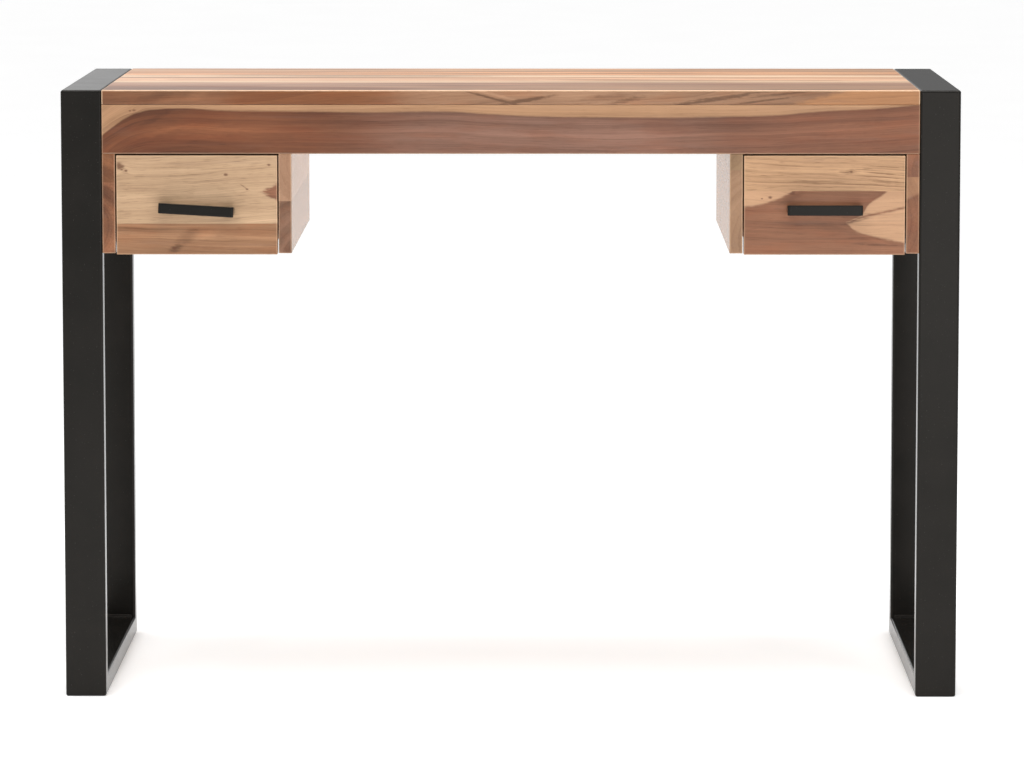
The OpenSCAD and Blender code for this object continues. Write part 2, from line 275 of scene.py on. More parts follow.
def wood(name, origin, axes="xzy", seed=0.0, pith=(-30.0, 70.0), ring=9.0, taper=0.03, wander=3.0,
         sap=-50.0, sap_blur=1.0, follow=None, heart=HEART, other_heart=None, share=0.5, sapwood=SAP,
         sap_rough=1.0, lift=0.0, knots=(), stains=(), streaks=0.5, lines=0.15, fibre=0.5, dash=0.1,
         highlight_box=None, highlight_strength=0.25, polish=0.34, relief=0.5, painted_sheen=0.0):
    """Lacquered solid wood. It is cut from a log whose rings are round the pith.

    origin is the point that distances are measured from, in metres, and axes names the axes
    that run along the grain, across the face and through the board. The other lengths are
    in millimetres: pith is where the log's middle lies across and through the board, ring is
    the rings' width, taper their lean to the grain and wander how far they stray.

    sap is how far a point is into the sapwood, as a number or a function of the three
    distances. sap_blur is how soft the sapwood's edge is and sap_rough how ragged. follow is
    a line that the grain runs along. other_heart is a second heartwood colour and share how
    much of it there is, and lift lightens the board. Both are a number or a line of points
    along the grain. knots are (along, across, radius). stains are (along, across, half
    length, half height, rise, lift), and rise is their slope.

    streaks, lines, fibre and dash are how strongly rings, the dark lines between them,
    fibres and short dark dashes show, from 0 to 1. highlight_box is the box whose arrises get a
    painted highlight, as strong as highlight_strength. polish is the lacquer's roughness, and relief how
    strongly fibres and pores stand out. painted_sheen is how strongly a painted sheen pales the board
    behind its front end.
    """
    material, tree, shader, place = new_material(name)
    u, v, w = (place[axis] - origin["xyz".index(axis)] * 1000 for axis in axes)
    far = u + seed * 1000

    # Growth rings, bent by the tree's growth and pushed aside by its knots
    slow = cloud(far / 260, v / 60, w / 60, detail=1.0)
    quick = cloud(far / 80, v / 16, w / 16, detail=1.0)
    depth = ((v - pith[0]).math("POWER", 2) + (w - pith[1]).math("POWER", 2)).math("SQRT")
    plain_depth = depth
    depth = depth + u * taper + (slow - 0.5) * (5 * wander) + (quick - 0.5) * (1.2 * wander)
    if follow is not None:
        depth = depth - u.bend(follow) * 0.85
    ragged = cloud(far / 9, v / 3.2, w / 3.2, detail=2.0) - 0.5
    knot = None
    for knot_u, knot_v, radius in knots:
        along_it = ((u - knot_u) / 1.5).math("POWER", 2)
        across_it = (v - knot_v).math("POWER", 2)
        away = (along_it + across_it).math("SQRT") / radius
        depth = depth + (away * 0.45).fade() * (2.2 * radius)
        spot = 1 - (away + ragged * 2.2).step(0.2, 1.6)
        knot = spot if knot is None else knot.most(spot)
    stained = None
    for stain_u, stain_v, half_length, half_height, rise, amount in stains:
        along_it = ((u - stain_u) / half_length).math("POWER", 2)
        across_it = ((v - stain_v - (u - stain_u) * rise) / half_height).math("POWER", 2)
        through_it = (w / STAIN_DEPTH).math("POWER", 2)
        away = (along_it + across_it + through_it).math("SQRT")
        spot = (1 - (away + ragged * 1.3).step(0.25, 1.35)) * amount
        stained = spot if stained is None else stained + spot

    # Rings and finer grain. Threads, fibres, dashes and hairs bend with the rings
    bent = v + (depth - plain_depth) * (1 if pith[0] < 0 else -1)
    broad = cloud((depth + seed * 77) / (2.4 * ring), detail=1.0)
    rings = cloud((depth + seed * 31) / ring, detail=3.0, roughness=0.55)
    late = (rings * 0.8 + depth / ring).math("FRACT").math("POWER", 5)
    threads = cloud(far / 90, bent / 2.4, w / 2.4, detail=3.0, roughness=0.55)
    fibres = cloud(far / 26, bent / 0.9, w / 0.9, detail=2.0, roughness=0.6)
    dashes = cloud(far / 20 + 7, bent / 1.15, w / 1.5, detail=1.0).step(0.57, 0.70)
    pores = cloud(far / 7, v / 0.5, w / 0.5, detail=1.0).step(0.66, 0.80)
    patch = cloud(far / 190, v / 40, w / 40, detail=2.0)
    hairs = cloud(far / 130, bent / 1.3, w / 1.5, detail=1.0)
    mottle = cloud(far / 70 + 90, v / 12, w / 12, detail=3.0)

    # The tone, from 0 for dark to 1 for light
    tone = (rings - 0.5) * (1.1 * streaks) + (broad - 0.5) * (1.2 * streaks) - late * lines
    tone = tone + (patch - 0.5) * 0.6 + (threads - 0.5) * (0.55 * fibre) + (fibres - 0.5) * (0.3 * fibre)
    drifted = u + w * (slow - 0.5) * 9
    tone = tone + 0.53 + along(drifted, lift) - dashes * dash + (hairs - 0.5) * (0.45 * fibre)
    if stained is not None:
        tone = tone + stained

    #     How near a point is to an arris of the box for the painted highlight: its second smallest distance
    #     from a face
    arris_highlight_mask = None
    if highlight_box is not None:
        gaps = []
        for i, axis in enumerate("xyz"):
            gaps.append((place[axis] - highlight_box[0][i] * 1000).least(highlight_box[1][i] * 1000 - place[axis]))
        second = gaps[0].least(gaps[1]).most(gaps[0].most(gaps[1]).least(gaps[2]))
        arris_highlight_mask = 1 - (second + ragged * 0.6).step(0.5, 2.0)

    # Sapwood, with a darker line where it ends
    into_sap = sap(u, v, w) if callable(sap) else u * 0 + sap
    wavy = ((quick - 0.5) * 1.4 + (threads - 0.5) * 1.2 + ragged * 2.0) * sap_rough
    is_sap = ((into_sap + wavy) / sap_blur).step(-0.9, 0.9)
    heart_tone = tone - (into_sap.size() / 8).fade() * 0.13

    heart_colour = ramp(heart_tone, shades(heart, HEART_GAINS))
    if other_heart is not None:
        other = ramp(heart_tone, shades(other_heart, HEART_GAINS))
        heart_colour = mix(tree, along(drifted, share), heart_colour, other)
    red = mottle.step(0.44, 0.68) * 0.35
    heart_colour = mix(tree, red, heart_colour, linear(*REDDENER), "MULTIPLY")
    colour = mix(tree, is_sap, heart_colour, ramp(tone, shades(sapwood, SAP_GAINS)))
    # Painted sheen: the board behind its front end is painted pale, in place of reflection at a grazing
    # angle
    if painted_sheen:
        colour = mix(tree, u.step(SHEEN_START, SHEEN_END) * painted_sheen, colour, linear(*GRAZING_SHEEN))
    grey = cloud(far / 120 + 40, v / 9, w / 9, detail=2.0).step(0.56, 0.80) * 0.20
    colour = mix(tree, grey, colour, linear(*WEATHERED))
    if knot is not None:
        colour = mix(tree, knot * 0.8, colour, linear(*KNOT))
    colour = mix(tree, pores * 0.3, colour, linear(*PORE))
    # Painted highlight: the box's arrises are painted lighter, in place of the light that they catch
    if arris_highlight_mask is not None:
        colour = mix(tree, arris_highlight_mask * highlight_strength, colour, linear(*ARRIS_HIGHLIGHT))

    feed(tree, shader.inputs["Base Color"], colour)
    feed(tree, shader.inputs["Roughness"], pores * 0.2 + (fibres - 0.5) * 0.10 + polish)
    shader.inputs["Specular IOR Level"].default_value = 0.42
    height = fibres * 0.5 + rings * 0.3 - pores
    feed(tree, shader.inputs["Normal"], bump(tree, height, 0.05 * MM, relief))
    return material


# ---- Other materials ---------------------------------------------------------------


def powder_coat():
    """Satin black powder coat: a fine orange peel, faint cloudiness and a few specks of dust."""
    material, tree, shader, place = new_material("powder_coat")
    x, y, z = (place[axis] for axis in "xyz")
    peel = cloud(x / 0.9, y / 0.9, z / 0.9, detail=2.0)
    drift = cloud(x / 60, y / 60, z / 60, detail=3.0)
    dust = cloud(x / 1.6 + 9, y / 1.6, z / 1.6, detail=0.0).step(0.80, 0.84)
    colour = ramp(drift, [(0.3, linear(21, 20, 18)), (0.7, linear(28, 26, 24))])
    feed(tree, shader.inputs["Base Color"], mix(tree, dust * 0.15, colour, linear(110, 106, 102)))
    feed(tree, shader.inputs["Roughness"], drift * 0.08 + peel * 0.04 + 0.14 + dust * 0.3)
    shader.inputs["Specular IOR Level"].default_value = 0.18
    shader.inputs["Specular Tint"].default_value = linear(255, 249, 242)
    feed(tree, shader.inputs["Normal"], bump(tree, peel, 0.01 * MM, 0.2))
    return material


def plated(name, light, dark, grain, roughness):
    """Bright metal with fine marks from plating or turning."""
    material, tree, shader, place = new_material(name)
    x, y, z = (place[axis] for axis in "xyz")
    marks = cloud(x / grain, y / grain, z / grain, detail=3.0)
    stain = cloud(x / 7, y / 7, z / 7, detail=2.0)
    feed(tree, shader.inputs["Base Color"], ramp(stain, [(0.3, linear(*dark)), (0.7, linear(*light))]))
    feed(tree, shader.inputs["Roughness"], marks * 0.2 + roughness)
    shader.inputs["Metallic"].default_value = 1.0
    feed(tree, shader.inputs["Normal"], bump(tree, marks, 0.03 * MM, 0.5))
    return material


def moulded_plastic():
    """Matt black plastic with a fine spark texture."""
    material, tree, shader, place = new_material("moulded_plastic")
    x, y, z = (place[axis] for axis in "xyz")
    spark = cloud(x / 0.35, y / 0.35, z / 0.35, detail=1.0)
    drift = cloud(x / 8, y / 8, z / 8, detail=1.0)
    colour = ramp(drift, [(0.3, linear(26, 26, 26)), (0.7, linear(36, 36, 35))])
    feed(tree, shader.inputs["Base Color"], colour)
    feed(tree, shader.inputs["Roughness"], spark * 0.15 + 0.42)
    feed(tree, shader.inputs["Normal"], bump(tree, spark, 0.02 * MM, 0.5))
    return material


def plywood(origin):
    """Three-ply sheet: a face veneer with long grain, and the plies on its edges."""
    material, tree, shader, place = new_material("plywood")
    x, y, z = (place[axis] for axis in "xyz")
    veneer = cloud(x / 9, y / 240, z / 50, detail=4.0, roughness=0.6)
    fibres = cloud(x / 0.8, y / 30, z / 3, detail=2.0)
    face = ramp(veneer + (fibres - 0.5) * 0.3,
                [(0.3, linear(178, 140, 96)), (0.55, linear(214, 182, 138)), (0.8, linear(228, 202, 162))])
    middle_ply = 1 - ((z - origin.z * 1000 - 2.5).size()).step(0.8, 0.9)
    feed(tree, shader.inputs["Base Color"], mix(tree, middle_ply * 0.5, face, linear(146, 104, 66)))
    feed(tree, shader.inputs["Roughness"], fibres * 0.15 + 0.55)
    feed(tree, shader.inputs["Normal"], bump(tree, fibres, 0.06 * MM, 0.5))
    return material


# ---- Mesh pieces -------------------------------------------------------------------


def piece(name, bm, material, body, slot, *stands_for):
    """Makes an object of a mesh, rides it on a body and puts it in place of CAD nodes."""
    bmesh.ops.recalc_face_normals(bm, faces=bm.faces)
    mesh = bpy.data.meshes.new(name)
    for face in bm.faces:
        face.smooth = True
    for edge in bm.edges:
        edge.smooth = edge.calc_face_angle(0.0) < SHARP_ANGLE
    bm.to_mesh(mesh)
    bm.free()
    mesh.materials.append(material)
    made = bpy.data.objects.new(name, mesh)
    bpy.context.scene.collection.objects.link(made)
    normals = made.modifiers.new("weighted_normals", "WEIGHTED_NORMAL")
    normals.weight = 90
    normals.keep_sharp = True
    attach(made, body)
    if stands_for:
        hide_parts(*stands_for)
    return made


def prism(outline, axis, start, end):
    """A closed prism. Its outline is in the other two axes, in their own order."""
    bm = bmesh.new()
    others = [i for i in range(3) if i != axis]
    rings = []
    for place in (start, end):
        ring = []
        for first, second in outline:
            point = [0.0, 0.0, 0.0]
            point[axis] = place
            point[others[0]] = first
            point[others[1]] = second
            ring.append(bm.verts.new(point))
        rings.append(ring)
    count = len(outline)
    for i in range(count):
        j = (i + 1) % count
        bm.faces.new((rings[0][i], rings[0][j], rings[1][j], rings[1][i]))
    for ring in rings:
        bm.faces.new(ring)
    bmesh.ops.recalc_face_normals(bm, faces=bm.faces)
    return bm


def ease(bm, radius, glued=()):
    """Rounds the convex arrises. glued holds (axis, place) planes whose edges stay sharp."""
    def is_glued(edge):
        return any(all(abs(v.co[axis] - place) < TOUCHING for v in edge.verts) for axis, place in glued)
    sharp = [e for e in bm.edges if len(e.link_faces) == 2 and e.is_convex
             and e.calc_face_angle() > EASED_ANGLE and not is_glued(e)]
    bmesh.ops.bevel(bm, geom=sharp, offset=radius, segments=3, profile=0.5, affect="EDGES",
                    clamp_overlap=True)


def slice_whole(bm, point, normal):
    """Cuts a whole mesh's faces along a plane."""
    geometry = bm.verts[:] + bm.edges[:] + bm.faces[:]
    bmesh.ops.bisect_plane(bm, geom=geometry, plane_co=point, plane_no=normal)


def cut_across(bm, axis, low, high):
    """Cuts a mesh by evenly spaced planes across an axis."""
    count = max(1, round((high - low) / CUT_SPACING))
    for i in range(1, count):
        point = [0.0, 0.0, 0.0]
        point[axis] = low + (high - low) * i / count
        normal = [0.0, 0.0, 0.0]
        normal[axis] = 1.0
        slice_whole(bm, point, normal)


def rectangle(low, high, axis):
    """Corners of a box's outline across an axis."""
    a, b = [i for i in range(3) if i != axis]
    return [(low[a], low[b]), (high[a], low[b]), (high[a], high[b]), (low[a], high[b])]


def board(node, material, grain, body, slot, glued=(), outline=None, prism_axis=None, arris=ARRIS):
    """A board in place of a CAD node: arrises eased, faces a touch uneven, always inside the node's box."""
    low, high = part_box(node)
    grain_axis = "xyz".index(grain)
    axis = grain_axis if prism_axis is None else prism_axis
    bm = prism(outline or rectangle(low, high, axis), axis, low[axis], high[axis])
    cut_across(bm, grain_axis, low[grain_axis], high[grain_axis])
    ease(bm, arris, glued)
    seed = Vector((low.x * 7, low.y * 5, low.z * 3))
    for vert in bm.verts:
        moved = vert.co + noise.noise_vector(vert.co * UNEVEN_RATE + seed) * UNEVEN
        vert.co = [min(max(moved[i], low[i]), high[i]) for i in range(3)]
    return piece(node + "_board", bm, material, body, slot, node)


# ---- The top and the aprons --------------------------------------------------------

# The top's usual heartwood, and the cream of its fifth stave
TOP_HEART = (184, 138, 102)
TOP_CREAM = (222, 188, 154)


def top_highlight_box():
    """The box round the top and the aprons, whose own arrises get the painted highlight."""
    low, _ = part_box("front_apron")
    _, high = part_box("rear_apron")
    return low, Vector((high.x, high.y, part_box("top_stave_1")[1].z))


def make_top():
    """Seven staves from the front edge back. The third and the fifth are sapwood."""
    looks = [
        # The front stave's arris gets the strongest painted highlight
        dict(axes="xzy", seed=1.0, pith=(40, -60), ring=14, streaks=0.5, taper=0.04, highlight_strength=0.85,
             heart=(122, 73, 40), other_heart=(158, 119, 90),
             share=[(0, 0.2), (120, 0.3), (180, 0.0), (300, 0.0), (430, 0.9), (1000, 0.9)],
             lift=[(0, -0.20), (90, -0.14), (180, -0.02), (280, 0.05), (420, 0.04), (760, 0.04),
                   (1000, 0.06)],
             sap=lambda u, v, w: (u - 842 - v * 4 - w * 2.6) / 6, sap_blur=3.0, sap_rough=2.0,
             sapwood=(178, 126, 84),
             stains=[(62, 8, 24, 7, 0.25, -0.16), (118, 12, 14, 6, 0.2, 0.14),
                     (478, 8, 46, 1.6, -0.26, -0.42), (478, 13, 46, 2.0, -0.26, 0.2),
                     (520, 6, 34, 2.6, 0.16, -0.5), (618, 9, 40, 5, 0.1, -0.2), (640, 5, 26, 3, 0.2, -0.3),
                     (742, 5, 52, 1.6, 0.13, -0.5), (762, 10, 60, 1.6, 0.13, -0.42),
                     (800, 4, 50, 1.4, 0.13, -0.36), (830, 13, 40, 1.6, 0.1, -0.3)]),
        dict(seed=2.3, pith=(90, -60), ring=12, streaks=0.8, lines=0.25, heart=(156, 112, 78),
             other_heart=(158, 120, 100)),
        dict(seed=3.1, sap=50, pith=(-80, 30), streaks=0.5, sapwood=(210, 176, 142)),
        dict(seed=4.7, pith=(20, 90), streaks=0.9, lines=0.3, heart=(198, 154, 120),
             lift=[(0, 0.12), (500, 0.04), (1000, 0.1)]),
        dict(seed=5.9, sap=lambda u, v, w: (v - 20).least(58 - v), pith=(40, -90), streaks=0.6,
             sapwood=TOP_CREAM, heart=TOP_HEART),
        dict(seed=6.2, pith=(-30, 60), streaks=0.9, lines=0.3, heart=(206, 151, 108)),
        dict(seed=7.5, sap=lambda u, v, w: 7 - (v - 42).size(), pith=(60, 60), streaks=0.8,
             lines=0.25, heart=TOP_HEART),
    ]
    highlight_box = top_highlight_box()
    for i, look in enumerate(looks, 1):
        node = f"top_stave_{i}"
        low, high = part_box(node)
        glued = []
        if i > 1:
            glued.append((1, low.y))
        if i < len(looks):
            glued.append((1, high.y))
        slot = "sap_stave" if i in (3, 5) else "top_wood"
        material = wood(f"wood_{node}", low, highlight_box=highlight_box, **{"axes": "xyz", **look})
        board(node, material, "x", "desk", slot, glued, arris=TOP_ARRIS if i == 1 else ARRIS)


# Where the front apron's sapwood ends, as (from the left end, up from the upper edge)
APRON_SAP_LINE = [(0, -38), (15, -26), (31, -15.5), (45, -9.5), (66, -5.5), (95, -4.2), (150, -7),
                  (251, -8), (330, -9), (410, -8), (470, -11), (520, -13.5), (600, -15), (755, -14.5),
                  (823, -12.5), (857, -9.5), (892, -7), (937, -5), (971, -2.5), (1000, 0)]


def make_aprons():
    """The front apron, half sapwood and half heartwood, and a plainer rear one."""
    low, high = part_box("front_apron")
    corner = (low.x, low.y, high.z)
    front = wood("wood_front_apron", corner, seed=8.8, pith=(-70, -14), ring=13, taper=0.0, wander=1.6,
                 sap=lambda u, v, w: v - u.bend(APRON_SAP_LINE), sap_rough=0.45, sap_blur=1.8,
                 follow=APRON_SAP_LINE, heart=(120, 69, 39), other_heart=GREY_HEART,
                 share=[(0, 0.0), (250, 0.1), (420, 0.9), (640, 0.9), (800, 0.4), (1000, 0.2)],
                 lift=[(0, -0.10), (70, -0.04), (180, 0.02), (260, -0.06), (380, 0.0), (800, 0.02),
                       (1000, 0.14)],
                 sapwood=(179, 136, 100), knots=[(40, -6.5, 1.5), (35, -7.5, 0.9)], streaks=0.42, fibre=0.7,
                 stains=[(70, -34, 34, 4, 0.25, 0.16), (110, -27, 50, 3.5, 0.06, 0.12),
                         (90, -44, 50, 3, 0.1, 0.1), (60, -20, 26, 4, 0.5, -0.12),
                         (210, -42, 40, 5, 0.02, -0.1), (130, -34, 60, 5, 0.05, 0.1),
                         (700, -56, 120, 4, 0.0, 0.1), (960, -36, 70, 16, 0.0, 0.1)],
                 highlight_box=top_highlight_box())
    board("front_apron", front, "x", "desk", "heartwood")
    low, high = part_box("rear_apron")
    rear = wood("wood_rear_apron", low, seed=9.4, pith=(90, 25), ring=10,
                sap=lambda u, v, w: 14 - v + (u / 160).math("SINE") * 5, streaks=0.5, highlight_box=top_highlight_box())
    board("rear_apron", rear, "x", "desk", "heartwood")


# ---- Drawer casings ----------------------------------------------------------------

# How strongly each inner cheek's broad faces are painted pale, a painted sheen for their reflection at a
# grazing angle
SHEEN_BY_SIDE = {"left": 0.52, "right": 0.25}


def cheek_outline(low, high, apron_z, apron_t):
    """Outline of an upper cheek stave in Y and Z, notched for both aprons."""
    front, rear = low.y + apron_t, high.y - apron_t
    return [(low.y, low.z), (high.y, low.z), (high.y, apron_z), (rear, apron_z),
            (rear, high.z), (front, high.z), (front, apron_z), (low.y, apron_z)]


def make_casings():
    """Four cheeks, each of two staves, and two backs."""
    apron_low, apron_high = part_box("front_apron")
    apron_t = apron_high.y - apron_low.y
    looks = {
        "left_outer_lower": dict(seed=11.0, pith=(30, -25), streaks=0.5, heart=(131, 84, 55),
                                 stains=[(0, 68, 14, 24, 0, -0.25), (0, 14, 14, 12, 0, 0.2)]),
        "left_outer_upper": dict(seed=12.0, pith=(60, 30), streaks=0.5, heart=(118, 73, 44),
                                 stains=[(0, 26, 14, 10, 0, 0.22)]),
        "left_inner_lower": dict(seed=13.0, pith=(-20, 60), streaks=0.4, heart=(124, 89, 68)),
        "left_inner_upper": dict(seed=14.0, sap=50, pith=(50, 60), streaks=0.4, sapwood=(166, 126, 98)),
        "right_outer_lower": dict(seed=15.0, pith=(40, -60), streaks=0.5, heart=(130, 80, 49),
                                  sap=lambda u, v, w: v - 66 - w * 0.5, sap_blur=3.0,
                                  sapwood=(154, 108, 74)),
        "right_outer_upper": dict(seed=16.0, pith=(10, 35), streaks=0.5, heart=(116, 71, 45),
                                  stains=[(0, 30, 14, 22, 0, 0.25)]),
        "right_inner_lower": dict(seed=17.0, sap=50, pith=(10, 80), streaks=0.4, sapwood=(157, 120, 90)),
        "right_inner_upper": dict(seed=18.0, sap=50, pith=(70, -50), streaks=0.4, sapwood=(142, 111, 80)),
    }
    for side in SIDES:
        for place in ("outer", "inner"):
            for level in ("lower", "upper"):
                node = f"{side}_{place}_cheek_{level}"
                low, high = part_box(node)
                cheek = (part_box(f"{side}_{place}_cheek_lower")[0],
                         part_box(f"{side}_{place}_cheek_upper")[1])
                material = wood(f"wood_{node}", low, "yzx", painted_sheen=SHEEN_BY_SIDE[side] if place == "inner" else 0.0,
                                highlight_box=cheek, polish=0.25, relief=0.08, **looks[f"{side}_{place}_{level}"])
                slot = "sapwood" if place == "inner" and level == "upper" else "heartwood"
                if level == "upper":
                    outline = cheek_outline(low, high, apron_low.z, apron_t)
                    board(node, material, "y", "desk", slot, [(2, low.z)], outline, 0)
                else:
                    board(node, material, "y", "desk", slot, [(2, high.z)])
        node = f"{side}_casing_back"
        low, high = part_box(node)
        back = wood(f"wood_{node}", low, seed=20.0 + low.x, pith=(50, -60), streaks=0.5, highlight_box=(low, high))
        board(node, back, "x", "desk", "heartwood")


# ---- Drawers -----------------------------------------------------------------------

# On the right front: the upper and lower edges of the sapwood wedge at its right end, the
# sapwood at its left end, and a brown thread inside the wedge. (from the left, up from the
# lower edge)
WEDGE_TOP = [(122, 38), (134, 43), (144, 49), (150, 58), (158, 66), (168, 72), (178, 80), (197, 92)]
WEDGE_FOOT = [(122, 42), (128, 37), (136, 30), (154, 24), (174, 19), (197, 15)]
LEFT_SAP_FOOT = [(0, 59), (17, 61), (31, 65), (45, 70), (58, 77), (66, 86), (197, 96)]
THREAD = [(122, 39), (128, 40), (144, 46), (166, 51), (197, 58)]


def left_upper_sap(u, v, w):
    """All sapwood, apart from a brown tongue in from the right edge."""
    return ((u - 205) / 27).size() * 15 + (v - 77).size() - 15


def right_lower_sap(u, v, w):
    """The wedge without its thread, and the left end."""
    wedge = (u.bend(WEDGE_TOP) - v).least(v - u.bend(WEDGE_FOOT)).least(u - 126)
    left = v - u.bend(LEFT_SAP_FOOT)
    thread = (v - u.bend(THREAD)).size() - 1.0
    return wedge.least(thread).most(left)


def make_drawer_fronts():
    """Two staves to each front. The upper ones are mostly sapwood."""
    looks = {
        "left_upper": dict(seed=21.0, sap=left_upper_sap, sap_blur=3.0, sap_rough=4.0,
                           pith=(160, -50), ring=8, wander=2.5, taper=0.05,
                           sapwood=(191, 157, 123), heart=(142, 94, 68),
                           knots=[(4, 109, 3.4), (12, 103, 1.2), (7, 104, 1.0), (134, 98.5, 1.5),
                                  (187, 110, 1.2), (160, 80, 1.0)],
                           stains=[(30, 96, 60, 1.2, 0.02, -0.18), (95, 106, 80, 1.2, -0.01, -0.16),
                                   (110, 90, 60, 1.2, 0.02, -0.14), (20, 78, 24, 4, 0.1, -0.1),
                                   (150, 74, 30, 3, -0.35, -0.1), (60, 70, 40, 2, 0.05, -0.12),
                                   (158, 82, 7, 1.0, -0.7, -0.4), (5, 107, 7, 4, -0.4, -0.4),
                                   (62, 72, 26, 6, 0.0, -0.08), (112, 84, 16, 5, 0.0, -0.06)],
                           streaks=0.25, lines=0.12, fibre=1.0, dash=0.24),
        "left_lower": dict(seed=22.0, pith=(-40, -30), ring=12, wander=4, heart=LIGHT_HEART,
                           knots=[(71, 7.5, 1.6)],
                           stains=[(86, 21, 14, 9, 0.5, -0.2), (72, 7, 9, 5, 0.3, -0.3),
                                   (110, 24, 16, 6, 0.3, 0.12), (150, 8, 60, 4, 0.0, 0.1)],
                           streaks=0.5, fibre=0.7),
        "right_upper": dict(seed=23.0, sap=50, pith=(190, -40), ring=4.6, wander=3, taper=-0.05,
                            sapwood=(192, 150, 112), knots=[(131, 102, 1.2)],
                            stains=[(131, 102, 24, 7, 0.0, 0.14), (129, 102, 12, 3.2, 0.0, -0.5),
                                    (172, 94, 26, 0.9, -0.1, 0.24), (168, 104, 30, 0.9, -0.06, 0.24),
                                    (176, 99, 22, 0.9, -0.08, -0.3), (178, 88, 20, 0.9, -0.1, -0.26),
                                    (160, 96, 34, 1.1, -0.08, -0.3), (168, 91, 30, 1.1, -0.1, -0.3),
                                    (158, 104, 36, 1.1, -0.04, -0.28), (166, 100, 26, 1.0, -0.1, -0.3),
                                    (172, 108, 22, 1.0, -0.06, -0.24), (150, 86, 40, 1.1, -0.02, -0.24),
                                    (60, 98, 60, 1.2, 0.03, -0.14), (90, 90, 50, 1.2, 0.02, -0.16),
                                    (40, 108, 34, 3, 0.05, -0.1)],
                            streaks=0.35, lines=0.3, fibre=1.0, dash=0.26),
        "right_lower": dict(seed=24.0, sap=right_lower_sap, sap_blur=2.2, sap_rough=1.3,
                            pith=(-60, -30), ring=14, wander=3,
                            sapwood=(197, 153, 117), heart=(143, 95, 67),
                            knots=[(60, 76, 1.8), (32, 70, 1.5), (22, 69, 0.9)],
                            stains=[(56, 68, 18, 5, 0.5, -0.14), (90, 52, 46, 5, -0.05, -0.22),
                                    (104, 34, 26, 6, -0.2, -0.08), (60, 10, 60, 6, 0.0, 0.02),
                                    (140, 42, 16, 1.8, 0.24, -0.4), (168, 12, 34, 1.2, -0.04, -0.3),
                                    (150, 23, 34, 3, -0.4, 0.1), (80, 20, 120, 24, 0.0, -0.06)],
                            streaks=0.4, fibre=0.6),
    }
    for side in SIDES:
        whole_low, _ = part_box(f"{side}_drawer_front_lower")
        _, whole_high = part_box(f"{side}_drawer_front_upper")
        for level in ("lower", "upper"):
            node = f"{side}_drawer_front_{level}"
            low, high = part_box(node)
            material = wood(f"wood_{node}", whole_low, highlight_box=(whole_low, whole_high),
                            **looks[f"{side}_{level}"])
            seam = high.z if level == "lower" else low.z
            slot = "heartwood" if level == "lower" else "sapwood"
            board(node, material, "x", f"{side}_drawer", slot, [(2, seam)], arris=FRONT_ARRIS)


# A pull's bar is this thick and has this radius at its ends. Behind each end is a post of this
# width and height.
PULL_BAR = 8 * MM
PULL_CORNER = 2.5 * MM
PULL_POST = 12 * MM
PULL_POST_HEIGHT = 8 * MM
PULL_ARRIS = 0.7 * MM
# Tilt of the left pull, right end down
LEFT_PULL_TILT = math.radians(3.3)


def make_pulls(material):
    """Bar pulls with a lower post behind each end, soft-edged, the left one tilted."""
    low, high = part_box("right_pull")
    width, reach, height = high - low
    bar, post, corner = PULL_BAR, PULL_POST, PULL_CORNER
    half = width / 2
    quarter = [math.radians(15 * i) for i in range(7)]
    left_corner = [(-half + corner - corner * math.cos(a), corner - corner * math.sin(a)) for a in quarter]
    outline = ([(-half, bar)] + left_corner + [(-x, y) for x, y in reversed(left_corner)]
               + [(half, bar), (half - post, bar), (post - half, bar)])
    for side, tilt in (("left", LEFT_PULL_TILT), ("right", 0.0)):
        node = f"{side}_pull"
        box_low, box_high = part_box(node)
        centre = (box_low + box_high) / 2
        bm = prism(outline, 2, -height / 2, height / 2)
        for level in (-PULL_POST_HEIGHT / 2, PULL_POST_HEIGHT / 2):
            slice_whole(bm, (0, 0, level), (0, 0, 1))
        roots = []
        for face in bm.faces:
            middle = face.calc_center_median()
            if middle.y > bar - TOUCHING and abs(middle.x) > half - post and abs(middle.z) < TOUCHING:
                roots.append(face)
        grown = bmesh.ops.extrude_discrete_faces(bm, faces=roots)["faces"]
        ends = [v for face in grown for v in face.verts]
        bmesh.ops.translate(bm, verts=ends, vec=(0, reach - bar, 0))
        bmesh.ops.recalc_face_normals(bm, faces=bm.faces)
        ease(bm, PULL_ARRIS, [(1, reach)])
        turn = Matrix.Translation((centre.x, box_low.y, centre.z)) @ Matrix.Rotation(tilt, 4, "Y")
        bmesh.ops.transform(bm, matrix=turn, verts=bm.verts)
        piece(node + "_bar", bm, material, f"{side}_drawer", "black_steel", node)


# ---- Steel frames ------------------------------------------------------------------

# A frame's width, its ground outer corners, the rounded corners of its tube's section, the
# caps in its outer faces and the gap round each
TUBE_WIDTH = 50 * MM
CORNER_RADIUS = 3.0 * MM
TUBE_ARRIS = 3.0 * MM
CAP_RADIUS = 7.0 * MM
CAP_GAP = 0.15 * MM
# Steps round a quarter of a rounded corner
CORNER_STEPS = 5
# Weld beads: size, spacing of the ripples, and how far each stops short of the tube's faces
BEAD = 3.2 * MM
RIPPLE_PITCH = 2.4 * MM
BEAD_INSET = 4 * MM
BEAD_STEPS = 84
BEAD_SIDES = 6
# Steps over which a bead tapers at its ends, and the least that it tapers to
BEAD_TAPER = 5
BEAD_LEAST = 0.2 * MM
# How far a bead is sunk into the corner
BEAD_SINK = 0.5 * MM


def tube_section(left, right, depth):
    """Points round a tube's rounded section, as (x, distance in from the frame's outer face)."""
    points = []
    for x, inset, x_way, inset_way, first in ((right, 0, -1, 1, 0), (left, 0, 1, 1, 90),
                                              (left, depth, 1, -1, 180), (right, depth, -1, -1, 270)):
        for i in range(CORNER_STEPS + 1):
            angle = math.radians(first + 90 * i / CORNER_STEPS)
            points.append((x + x_way * TUBE_ARRIS + TUBE_ARRIS * math.cos(angle),
                           inset + inset_way * TUBE_ARRIS - TUBE_ARRIS * math.sin(angle)))
    return points


